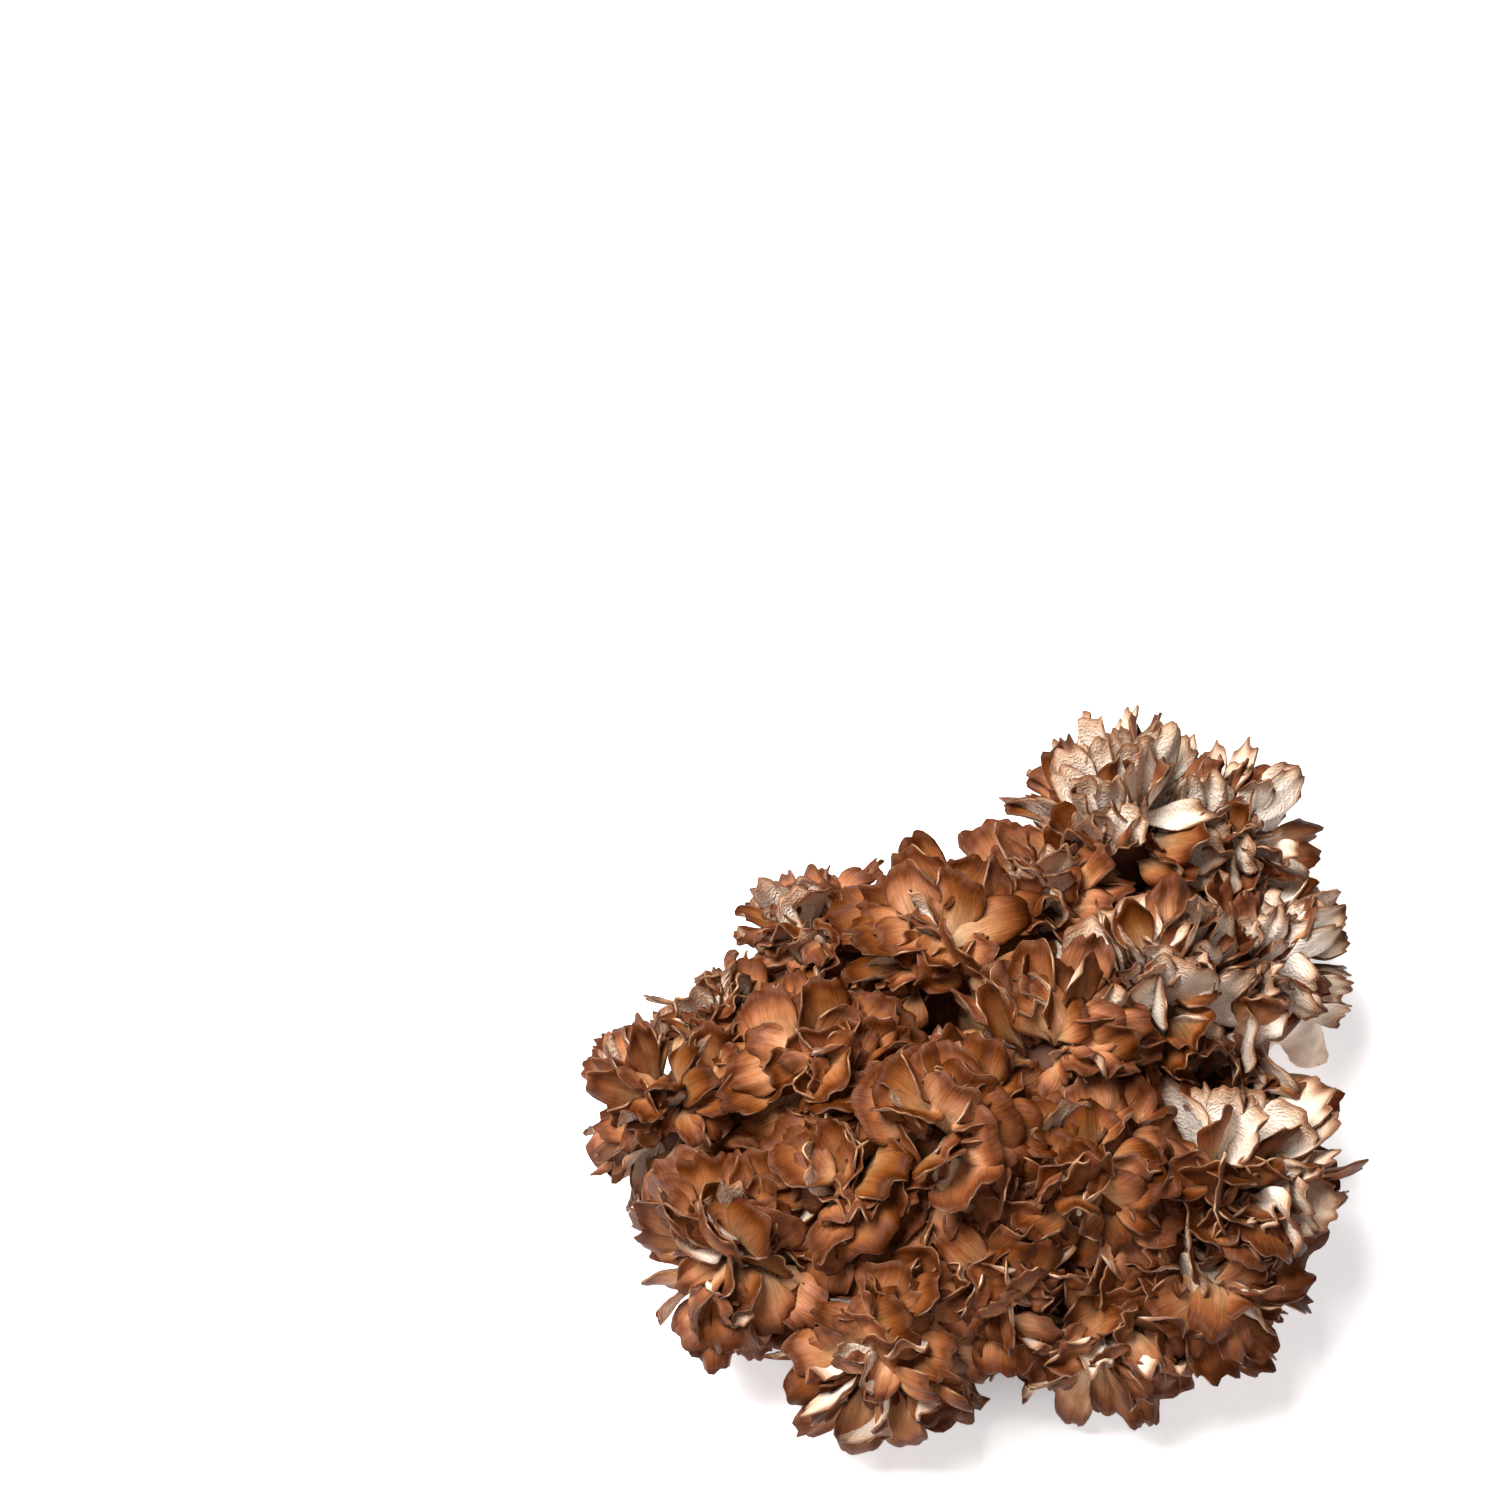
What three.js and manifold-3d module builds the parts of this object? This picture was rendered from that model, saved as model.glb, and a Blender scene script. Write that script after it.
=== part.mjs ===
// A maitake mushroom, picked and standing on the cut end of its foot.
// Millimetres, +Z up. +X is to the right and -Y towards somebody who looks at its front.
//
// The fungus is one foot that divides into branches. Each branch ends in a rosette of fronds:
// thin fans with a narrow stalk, a rounded and waved margin, and an upper side that faces the
// middle of the rosette. A frond that would cross a neighbouring branch bends along it instead.
import * as THREE from "three";
import { mergeVertices } from "three/addons/utils/BufferGeometryUtils.js";
import Module from "manifold-3d";

const wasm = await Module();
wasm.setup();

// The middle of the finished cluster's box, seen from above, in the frame that the branches are laid out in.
const MIDDLE = { x: -0.4, y: 4.9 };

// Frond tissue: thicker where it leaves the branch, thin at the margin.
const ROOT_THICKNESS = 2.6;
const MARGIN_THICKNESS = 1.2;
const STALK_SHARE = 0.28; // a stalk's width, as a share of its fan's
const ROOT_DEPTH = 0.75; // how far out a frond starts, as a share of the core's radius

// Room that is kept between neighbours.
const CLEARANCE = 0.9; // from a frond's middle surface to the plane between two branches
const EASE = 4.5; // a frond starts to bend this far from that plane
const FACE_GAP = 0.15; // half of the gap between two branches, and between a branch and the foot
const FLOOR_GAP = 2.2; // lowest height of a frond's middle surface
const SHORTEST_EDGE = 0.03;

// The foot, its cut end and the bare stub of a branch that shows on its right.
const FOOT = { x: 4, y: 0, rise: 34, length: 136, width: 110, cut: 0.6 };
const STUB = [
  { at: [40, 12, 16], radius: 15 },
  { at: [94, 32, 27], radius: 9 },
  { at: [107, 25, 10], radius: 6 },
];
const STUB_SIDES = 9;

// at is the middle of a branch's core, lean the way its rosette opens, reach the distance from at to the
// frond tips, spread the widest angle from lean in degrees, width the usual width of a frond, and arch how
// strongly its fronds arch over: low where they stand up straight and show their undersides.
const BRANCHES = [
  { name: "left", at: [-88, -11, 40], lean: [-0.6, -0.4, 0.7], reach: 36, spread: 112, count: 12, width: 17, arch: 1 },
  { name: "left_back", at: [-74, 12, 40], lean: [-0.5, 0.4, 0.7], reach: 27, spread: 108, count: 8, width: 16, arch: 1 },
  { name: "front_left", at: [-70, -56, 38], lean: [-0.5, -0.6, 0.6], reach: 35, spread: 112, count: 12, width: 20, arch: 1 },
  { name: "back_left", at: [-46, 42, 44], lean: [-0.4, 0.6, 0.7], reach: 30, spread: 112, count: 11, width: 13, arch: 1 },
  { name: "crown_left", at: [-46, -9, 58], lean: [-0.35, -0.1, 0.9], reach: 36, spread: 98, count: 11, width: 20, arch: 1 },
  { name: "crown_front", at: [-10, -34, 66], lean: [-0.05, -0.3, 0.9], reach: 35, spread: 94, count: 10, width: 23, arch: 1 },
  { name: "front", at: [-29, -80, 35], lean: [-0.1, -0.85, 0.5], reach: 35, spread: 110, count: 12, width: 20, arch: 1 },
  { name: "front_low", at: [3, -68, 44], lean: [0, -0.8, 0.6], reach: 31, spread: 100, count: 8, width: 20, arch: 1 },
  { name: "front_right", at: [33, -75, 33], lean: [0.2, -0.85, 0.45], reach: 34, spread: 112, count: 12, width: 18, arch: 1 },
  { name: "crown_back", at: [-10, 27, 60], lean: [-0.15, 0.3, 0.9], reach: 36, spread: 104, count: 11, width: 20, arch: 1 },
  { name: "back_middle", at: [19, 48, 56], lean: [-0.1, 0.5, 0.85], reach: 31, spread: 104, count: 9, width: 18, arch: 0.5 },
  { name: "back", at: [45, 77, 51], lean: [-0.05, 0.9, 0.4], reach: 39, spread: 126, count: 17, width: 17, arch: -0.35 },
  { name: "right", at: [85, 37, 46], lean: [0.85, 0.5, 0.2], reach: 32, spread: 124, count: 12, width: 13, arch: -0.35 },
  { name: "right_low", at: [77, 2, 46], lean: [0.8, -0.1, 0.5], reach: 31, spread: 112, count: 9, width: 19, arch: -0.3 },
  { name: "crown_right", at: [52, 14, 63], lean: [0.5, 0.5, 0.6], reach: 35, spread: 124, count: 11, width: 23, arch: -0.35 },
  { name: "front_corner", at: [68, -38, 42], lean: [0.85, -0.1, 0.45], reach: 38, spread: 114, count: 12, width: 22, arch: 0.5 },
  { name: "crown_corner", at: [27, -45, 60], lean: [0.3, -0.4, 0.85], reach: 33, spread: 96, count: 9, width: 22, arch: 1 },
  { name: "crown", at: [19, -8, 66], lean: [0.1, 0.2, 0.95], reach: 35, spread: 94, count: 9, width: 21, arch: 1 },
  { name: "front_middle", at: [-38, -47, 53], lean: [-0.3, -0.5, 0.8], reach: 34, spread: 98, count: 9, width: 21, arch: 1 },
  { name: "corner_low", at: [57, -62, 34], lean: [0.6, -0.6, 0.5], reach: 35, spread: 106, count: 10, width: 20, arch: 0.8 },
  { name: "back_right", at: [77, 77, 48], lean: [0.6, 0.8, 0.15], reach: 33, spread: 120, count: 10, width: 14, arch: -0.35 },
];
const CORE_SHARE = 0.38; // a core's radius, as a share of its branch's reach
const NECK_RADIUS = 8; // the bare part of a branch, between the foot and its core
const CLUB_SIDES = 7;
const GOLDEN_ANGLE = Math.PI * (3 - Math.sqrt(5));

const COLOURS = { cap: 0x9a6238, flesh: 0xd3b79c };

// Draws numbers between two limits. The same seed gives the same cluster.
function makeDraw(seed) {
  const modulus = 2147483647;
  let state = seed;
  return (low, high) => {
    state = (state * 48271) % modulus;
    return low + ((high - low) * state) / modulus;
  };
}

function vector([x, y, z]) {
  return new THREE.Vector3(x, y, z);
}

function radians(degrees) {
  return (degrees * Math.PI) / 180;
}

// A closed three.js geometry as a solid.
function solidFrom(geometry) {
  const bare = geometry.clone();
  bare.deleteAttribute("normal");
  bare.deleteAttribute("uv");
  const merged = mergeVertices(bare, 1e-4);
  return new wasm.Manifold(
    new wasm.Mesh({
      numProp: 3,
      vertProperties: merged.attributes.position.array,
      triVerts: new Uint32Array(merged.index.array),
    }),
  );
}

// The biggest body of a solid, which drops the scraps that a cut left loose.
function withoutScraps(solid) {
  const bodies = solid.asOriginal().simplify(SHORTEST_EDGE).decompose();
  return bodies.reduce((most, body) => (body.volume() > most.volume() ? body : most));
}

function meshFrom(solid, name, colour, roughness) {
  const { vertProperties, triVerts } = solid.getMesh();
  const geometry = new THREE.BufferGeometry()
    .setAttribute("position", new THREE.BufferAttribute(new Float32Array(vertProperties), 3))
    .setIndex(new THREE.BufferAttribute(triVerts, 1));
  geometry.computeVertexNormals();
  const material = new THREE.MeshStandardMaterial({ color: colour, roughness, metalness: 0, flatShading: true });
  const mesh = new THREE.Mesh(geometry, material);
  mesh.name = name;
  return mesh;
}

// The planes that keep a branch apart from its neighbours and from the table. A point is clear while
// its distance along the plane's normal stays below the plane's reach.
function planesAround(branch) {
  const here = vector(branch.at);
  const planes = BRANCHES.filter((other) => other !== branch).map((other) => {
    const normal = vector(other.at).sub(here);
    const distance = normal.length();
    normal.normalize();
    const share = (distance ** 2 + branch.reach ** 2 - other.reach ** 2) / (2 * distance);
    return { normal, reach: here.dot(normal) + share };
  });
  planes.push({ normal: new THREE.Vector3(0, 0, -1), reach: CLEARANCE - FLOOR_GAP });
  return planes;
}

// Moves a point smoothly back from every plane that it comes too near to.
function bendClear(point, planes) {
  for (const { normal, reach } of planes) {
    const room = reach - point.dot(normal);
    if (room < EASE) {
      const kept = CLEARANCE + (EASE - CLEARANCE) * Math.exp((room - EASE) / (EASE - CLEARANCE));
      point.addScaledVector(normal, room - kept);
    }
  }
  return point;
}

// Turns a frond's way of growth aside where its tip would pass one of the planes.
function steerClear(growth, face, root, length, planes) {
  for (const { normal, reach } of planes) {
    const tip = root.clone().addScaledVector(growth, length);
    const over = tip.dot(normal) - (reach - EASE / 2);
    if (over > 0) {
      growth.addScaledVector(normal, -over / length).normalize();
    }
  }
  face.addScaledVector(growth, -face.dot(growth)).normalize();
}

// One point of a frond's middle surface: along runs from the root at 0 to the margin at 1, across from
// one side at -1 to the other at 1. The fan arches outwards, its sides fall away, its margin waves and its
// lip turns down.
function frondPoint(frond, along, across) {
  const scallop = frond.scallop * Math.cos(frond.lobes * Math.PI * across + frond.phase);
  const outline = Math.sqrt(1 - frond.rounding * across ** 2) + scallop;
  const turn = frond.bend * along * outline;
  const arm = frond.length / frond.bend;
  const opening = THREE.MathUtils.smoothstep(along, 0.05, 0.8);
  const narrowing = Math.sqrt(1 - along ** 2 / 2);
  const side = (frond.width / 2) * (STALK_SHARE + (1 - STALK_SHARE) * opening) * narrowing * across;
  const fall = frond.cup * along * across || 1e-6;
  const wave = frond.ruffle * along ** 2 * Math.sin(frond.waves * Math.PI * across + frond.phase);
  const sideways = (side * Math.sin(fall)) / fall;
  const raised = (-side * (1 - Math.cos(fall))) / fall + wave - frond.lip * along ** 4;
  const twist = frond.twist * along;
  const up = raised * Math.cos(twist) - sideways * Math.sin(twist);
  const over = sideways * Math.cos(twist) + raised * Math.sin(twist);
  const forward = arm * Math.sin(turn) + up * Math.sin(turn);
  const outward = -arm * (1 - Math.cos(turn)) + up * Math.cos(turn);
  const point = frond.root
    .clone()
    .addScaledVector(frond.growth, forward)
    .addScaledVector(frond.face, outward)
    .addScaledVector(frond.widthWay, over);
  return bendClear(point, frond.planes);
}

function frondNormal(frond, along, across) {
  const step = 0.03;
  const acrossWay = frondPoint(frond, along, across + step).sub(frondPoint(frond, along, across - step));
  const alongWay = frondPoint(frond, along + step, across).sub(frondPoint(frond, along - step, across));
  return acrossWay.cross(alongWay).normalize();
}

// Rows of places on a frond, from root to margin, and the triangles that join each row to the next.
const ROWS = [
  { along: 0, places: [-1, 1] },
  { along: 0.58, places: [-1, 0, 1] },
  { along: 1, places: [-1, -0.36, 0.36, 1] },
];
const FACES = [
  [0, 1, 3], [0, 3, 2], [1, 4, 3],
  [2, 3, 6], [2, 6, 5], [3, 7, 6], [3, 4, 7], [4, 8, 7],
];
const RIM = [0, 1, 4, 8, 7, 6, 5, 2];

// A frond as a closed thin solid, with the same triangles on its two faces.
function frondSolid(frond) {
  const upper = [];
  const lower = [];
  for (const { along, places } of ROWS) {
    const half = THREE.MathUtils.lerp(ROOT_THICKNESS, MARGIN_THICKNESS, along) / 2;
    for (const across of places) {
      const middle = frondPoint(frond, along, across);
      const normal = frondNormal(frond, along, across);
      upper.push(...middle.clone().addScaledVector(normal, half).toArray());
      lower.push(...middle.clone().addScaledVector(normal, -half).toArray());
    }
  }
  const below = upper.length / 3;
  const triangles = FACES.flatMap(([a, b, c]) => [a, b, c, below + a, below + c, below + b]);
  RIM.forEach((here, i) => {
    const next = RIM[(i + 1) % RIM.length];
    triangles.push(here, below + here, below + next, here, below + next, next);
  });
  const geometry = new THREE.BufferGeometry()
    .setAttribute("position", new THREE.BufferAttribute(new Float32Array([...upper, ...lower]), 3))
    .setIndex(triangles);
  return solidFrom(geometry);
}

// The fronds of a branch. They follow each other at the golden angle from the middle of the rosette to its
// outside, and each one's size, turn and curve are drawn.
function frondsOf(branch, order) {
  const draw = makeDraw(7919 * (order + 1));
  const lean = vector(branch.lean).normalize();
  const sideA = new THREE.Vector3(0, 0, 1).cross(lean).normalize();
  const sideB = lean.clone().cross(sideA);
  const planes = planesAround(branch);
  const core = branch.reach * CORE_SHARE;
  const fronds = [];
  for (let i = 0; i < branch.count; i++) {
    const share = (i + 0.5) / branch.count;
    const tilt = Math.acos(1 - (1 - Math.cos(radians(branch.spread))) * share) + radians(draw(-12, 12));
    const around = i * GOLDEN_ANGLE + draw(-0.6, 0.6);
    const outward = sideA.clone().multiplyScalar(Math.cos(around)).addScaledVector(sideB, Math.sin(around));
    const growth = lean.clone().multiplyScalar(Math.cos(tilt)).addScaledVector(outward, Math.sin(tilt));
    const face = lean.clone().multiplyScalar(Math.sin(tilt)).addScaledVector(outward, -Math.cos(tilt));
    const root = vector(branch.at).addScaledVector(growth, core * ROOT_DEPTH);
    const roll = radians(draw(-50, 50));
    const lift = radians(draw(-8, 30));
    face.applyAxisAngle(growth, roll);
    const widthWay = growth.clone().cross(face).normalize();
    growth.applyAxisAngle(widthWay, lift);
    face.applyAxisAngle(widthWay, lift);
    const length = (branch.reach - core * ROOT_DEPTH) * draw(0.88, 1.16);
    steerClear(growth, face, root, length, planes);
    fronds.push({
      root,
      growth,
      face,
      widthWay: growth.clone().cross(face).normalize(),
      planes,
      length,
      width: branch.width * draw(0.9, 1.65),
      bend: radians(draw(12, 92)) * branch.arch,
      cup: radians(draw(-40, 60)),
      twist: radians(draw(-24, 24)),
      ruffle: draw(0.8, 2.6),
      waves: draw(1.2, 2.4),
      rounding: draw(0.3, 0.65),
      scallop: draw(0.01, 0.035),
      lobes: draw(1.8, 4.2),
      phase: draw(0, 2 * Math.PI),
      lip: draw(-1.5, 3),
    });
  }
  return fronds;
}

// The solid part of a branch: a neck that leaves the foot and swells into the core its fronds grow from.
function clubSolid(branch) {
  const core = branch.reach * CORE_SHARE;
  const at = vector(branch.at);
  const start = new THREE.Vector3(FOOT.x, FOOT.y, 0).lerp(at, 0.35).setZ(18);
  const way = at.clone().sub(start);
  const far = way.length();
  const profile = [
    [0, 0],
    [NECK_RADIUS, 0],
    [core, far - 0.15 * core],
    [0.75 * core, far + 0.6 * core],
    [0, far + core],
  ];
  const club = new THREE.LatheGeometry(profile.map(([x, y]) => new THREE.Vector2(x, y)), CLUB_SIDES);
  club.applyQuaternion(new THREE.Quaternion().setFromUnitVectors(new THREE.Vector3(0, 1, 0), way.normalize()));
  return solidFrom(club.translate(start.x, start.y, start.z));
}

// A tapered limb with round sides from one point to another.
function limbSolid(from, to, fromRadius, toRadius, sides) {
  const way = to.clone().sub(from);
  const limb = new THREE.CylinderGeometry(toRadius, fromRadius, way.length(), sides);
  limb.applyQuaternion(new THREE.Quaternion().setFromUnitVectors(new THREE.Vector3(0, 1, 0), way.normalize()));
  const middle = from.clone().add(to).multiplyScalar(0.5);
  return solidFrom(limb.translate(middle.x, middle.y, middle.z));
}

// The foot: a squat mound with a flat cut end, and the bare stub that leaves it on the right. grown makes
// it larger all round, which is the room that the branches leave it.
function footSolid(grown) {
  const slant = 0.28;
  const profile = [
    [0, -grown],
    [FOOT.cut, -grown],
    [0.94, slant],
    [0.9, 0.62],
    [0.5, 1],
    [0, 1.04],
  ];
  const points = profile.map(([share, height]) => {
    const half = (share * FOOT.width) / 2 + (share > 0 ? grown : 0);
    const level = height <= 0 ? height : height * FOOT.rise + grown;
    return new THREE.Vector2(half, level);
  });
  const mound = new THREE.LatheGeometry(points, 14);
  mound.scale(FOOT.length / FOOT.width, 1, 1);
  mound.rotateX(Math.PI / 2);
  mound.translate(FOOT.x, FOOT.y, 0);
  let foot = solidFrom(mound);
  STUB.forEach(({ at, radius }, i) => {
    const place = vector(at);
    const joint = new THREE.SphereGeometry(radius + grown, STUB_SIDES, 6).translate(...at);
    foot = foot.add(solidFrom(joint));
    if (i > 0) {
      const from = STUB[i - 1];
      foot = foot.add(limbSolid(vector(from.at), place, from.radius + grown, radius + grown, STUB_SIDES));
    }
  });
  return foot;
}

// The half of space beyond a plane, as a box big enough for this object.
function beyond({ normal, reach }, gap) {
  const size = 400;
  const box = new THREE.BoxGeometry(size, size, size).translate(0, 0, size / 2 - gap);
  box.applyQuaternion(new THREE.Quaternion().setFromUnitVectors(new THREE.Vector3(0, 0, 1), normal));
  return solidFrom(box.translate(...normal.clone().multiplyScalar(reach).toArray()));
}

function branchSolid(branch, order, footRoom) {
  const core = vector(branch.at);
  const pieces = [clubSolid(branch), ...frondsOf(branch, order).map(frondSolid)];
  let solid = wasm.Manifold.union(pieces);
  for (const plane of planesAround(branch)) {
    const near = plane.reach - core.dot(plane.normal) < 2 * branch.reach;
    if (near) {
      solid = solid.subtract(beyond(plane, FACE_GAP));
    }
  }
  return withoutScraps(solid.subtract(footRoom));
}

const cluster = new THREE.Group();
cluster.name = "maitake";
const footRoom = footSolid(2 * FACE_GAP);
cluster.add(meshFrom(footSolid(0), "foot", COLOURS.flesh, 0.8));
BRANCHES.forEach((branch, order) => {
  const solid = branchSolid(branch, order, footRoom);
  cluster.add(meshFrom(solid, `branch_${branch.name}`, COLOURS.cap, 0.75));
});
cluster.position.set(-MIDDLE.x, -MIDDLE.y, 0);

export default cluster;
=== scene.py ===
# %% [markdown]
# # A maitake, frond by frond
# This is a whole maitake cluster, picked and standing on the cut end of its foot. The foot
# divides into branches, and each branch ends in a rosette of thin fans. The solids of the part
# are plain, and this lesson dresses them: every frond is grown again with a waved and torn
# margin, a brown skin on its upper side and fine pores on the other. All lengths are in
# millimetres until a mesh is made.

# %% Load the frame
import math

import bpy
import numpy as np
from mathutils import Matrix, Quaternion, Vector, noise


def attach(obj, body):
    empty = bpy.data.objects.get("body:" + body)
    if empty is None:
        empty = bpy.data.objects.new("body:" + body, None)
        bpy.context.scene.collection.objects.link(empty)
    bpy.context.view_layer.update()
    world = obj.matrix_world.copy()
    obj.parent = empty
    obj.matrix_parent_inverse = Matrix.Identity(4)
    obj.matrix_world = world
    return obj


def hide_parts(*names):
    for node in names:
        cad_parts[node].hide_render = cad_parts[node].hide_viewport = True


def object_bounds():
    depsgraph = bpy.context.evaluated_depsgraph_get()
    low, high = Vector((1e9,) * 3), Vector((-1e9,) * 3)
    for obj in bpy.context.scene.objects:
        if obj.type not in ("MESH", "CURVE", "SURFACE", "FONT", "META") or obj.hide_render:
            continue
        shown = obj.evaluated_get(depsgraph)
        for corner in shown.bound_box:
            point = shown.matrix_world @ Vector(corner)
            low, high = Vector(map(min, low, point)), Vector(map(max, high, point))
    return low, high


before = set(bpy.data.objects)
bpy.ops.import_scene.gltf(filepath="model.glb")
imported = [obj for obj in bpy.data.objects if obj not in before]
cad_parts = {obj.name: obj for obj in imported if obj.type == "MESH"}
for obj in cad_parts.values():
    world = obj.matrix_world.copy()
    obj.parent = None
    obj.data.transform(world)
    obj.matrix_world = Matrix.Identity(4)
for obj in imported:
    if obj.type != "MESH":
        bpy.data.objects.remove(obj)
cad_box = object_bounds()
MM = 0.001
print("branches:", sum(name.startswith("branch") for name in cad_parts))

# %% [markdown]
# ## Small helpers
# Colours are easiest to pick as the hex values of a screen, which are sRGB, but a shader wants
# linear light. One function turns one into the other. A second one adds any node to any tree,
# with its settings and what is linked into it. A third one makes a chain of named nodes from a
# list, so that a rule of many steps can be read as a list of many lines.

# %% Colours and nodes
def linear(hex_colour, alpha=1.0):
    """An sRGB hex colour as the linear values that a shader uses."""
    shares = [int(hex_colour[i:i + 2], 16) / 255 for i in (1, 3, 5)]
    light = [s / 12.92 if s <= 0.04045 else ((s + 0.055) / 1.055) ** 2.4 for s in shares]
    return (*light, alpha)


def add_node(tree, kind, links=None, output=0, **settings):
    """Adds a node, sets it up, fills its inputs with sockets or values, returns one output."""
    node = tree.nodes.new(kind)
    for name, value in settings.items():
        setattr(node, name, value)
    for key, value in (links or {}).items():
        socket = node.inputs[key]
        if isinstance(value, bpy.types.NodeSocket):
            tree.links.new(value, socket)
        else:
            socket.default_value = value
    return node if output is None else node.outputs[output]


def add_steps(tree, kind, made, steps):
    """Adds a node of the given kind for each step: its name, its operation and its operands.

    A word among the operands is the step that was made under that name.
    """
    for name, operation, *operands in steps:
        links = {i: made[v] if isinstance(v, str) else v for i, v in enumerate(operands)}
        made[name] = add_node(tree, kind, links, operation=operation)


print("one frond brown:", [round(v, 3) for v in linear("#93592F")])

# %% [markdown]
# ## The camera
# The photograph looks down at about 54 degrees through a long lens. The camera is made first,
# so that every later step can be looked at from the same place.

# %% Camera
CAMERA_PLACE = Vector((-68.0, -478.9, 872.0)) * MM
CAMERA_PITCH = math.radians(54.5)  # below the horizon
CAMERA_LENS = 76.8
SENSOR_WIDTH = 36.0
NEAREST_SEEN = 0.05

camera_data = bpy.data.cameras.new("camera")
camera_data.lens = CAMERA_LENS
camera_data.sensor_width = SENSOR_WIDTH
camera_data.clip_start = NEAREST_SEEN
camera = bpy.data.objects.new("camera", camera_data)
camera.location = CAMERA_PLACE
camera.rotation_euler = (math.pi / 2 - CAMERA_PITCH, 0, 0)
bpy.context.scene.collection.objects.link(camera)
bpy.context.scene.camera = camera
print("camera", [round(v, 3) for v in camera.location], "lens", CAMERA_LENS)

# %% [markdown]
# ## The light
# Mushrooms on a white sheet are lit softly, or their many layers turn into a noise of hard
# shadows. One big panel above and behind on the left lights the upper sides of the fronds, a
# weak one in front opens the shadows, and a faint warm room fills the rest.

# %% Panels and room
PANELS = [  # name, place and side in metres, watts, colour
    ("panel_above", (-0.48, 0.06, 1.14), 0.66, 36, "#FFFAF2"),
    ("panel_front", (0.3, -0.9, 0.9), 1.2, 2, "#FFF4EA"),
]
AIMED_AT = Vector((0, 0, 0.03))
ROOM_COLOUR = "#FFE9DA"
ROOM_STRENGTH = 0.12

for name, place, side, watts, colour in PANELS:
    data = bpy.data.lights.new(name, "AREA")
    data.shape = "SQUARE"
    data.size = side
    data.energy = watts
    data.color = linear(colour)[:3]
    lamp = bpy.data.objects.new(name, data)
    lamp.location = place
    lamp.rotation_euler = (AIMED_AT - Vector(place)).to_track_quat("-Z", "Y").to_euler()
    bpy.context.scene.collection.objects.link(lamp)

world = bpy.data.worlds.new("studio")
bpy.context.scene.world = world
world.use_nodes = True
world.node_tree.nodes["Background"].inputs["Color"].default_value = linear(ROOM_COLOUR)
world.node_tree.nodes["Background"].inputs["Strength"].default_value = ROOM_STRENGTH
bpy.context.scene.view_settings.view_transform = "Standard"
print("panels:", [name for name, *_ in PANELS])

# %% [markdown]
# ## The floor
# The sheet under the cluster is so well lit that it is nearly white, which one panel can't do
# without burning out the fronds. So the paper gives back a little light of its own. Beneath the
# cluster, where no light gets in, that would shine up between the fronds, and there it fades, so
# that the sheet is darker round the cluster: a painted shadow.

# %% Floor
HALF_FLOOR = 4.0  # metres
SHEET_COLOUR = "#F4F5F9"
SHEET_ROUGHNESS = 0.9
SHEET_GLOW = "#FBFCFF"
SHEET_GLOW_STRENGTH = 0.58
# the glow fades towards the middle: a painted shadow on the sheet round the cluster
PAINTED_SHADOW_SPAN = (0.06, 0.1)  # metres from the middle, between which the glow grows from nothing

corners = [(x * HALF_FLOOR, y * HALF_FLOOR, 0) for x, y in ((-1, -1), (1, -1), (1, 1), (-1, 1))]
floor_mesh = bpy.data.meshes.new("floor")
floor_mesh.from_pydata(corners, [], [(0, 1, 2, 3)])
floor = bpy.data.objects.new("floor", floor_mesh)
bpy.context.scene.collection.objects.link(floor)

# matt white paper: no gloss, and bright enough to lose its grain
paper = bpy.data.materials.new("white_paper_sheet")
paper.use_nodes = True
paper_shader = paper.node_tree.nodes["Principled BSDF"]
paper_shader.inputs["Base Color"].default_value = linear(SHEET_COLOUR)
paper_shader.inputs["Roughness"].default_value = SHEET_ROUGHNESS
paper_shader.inputs["Emission Color"].default_value = linear(SHEET_GLOW)
on_sheet = add_node(paper.node_tree, "ShaderNodeTexCoord", output="Object")
from_middle = add_node(paper.node_tree, "ShaderNodeVectorMath", {0: on_sheet}, "Value",
                       operation="LENGTH")
# no glow near the middle, so the sheet is darker there: a painted shadow round the cluster
glow = add_node(paper.node_tree, "ShaderNodeMapRange", {
    "Value": from_middle, "From Min": PAINTED_SHADOW_SPAN[0], "From Max": PAINTED_SHADOW_SPAN[1],
    "To Min": 0.0, "To Max": SHEET_GLOW_STRENGTH})
paper.node_tree.links.new(glow, paper_shader.inputs["Emission Strength"])
floor_mesh.materials.append(paper)
print("floor:", 2 * HALF_FLOOR, "metres wide")

# %% [markdown]
# ## The branches
# The cluster is a crowd of round branches that lean away from its middle. A branch is given by
# where its rosette stands, which way it leans, how far its fronds reach, how far round the lean
# they spread in degrees, how many and how wide they are, and how they arch: 1 away from the
# middle of the rosette, which shows the brown side, and below 0 towards it, which shows the
# pale one, as at the right and the back of the photograph. These are the branches of the solids.

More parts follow.
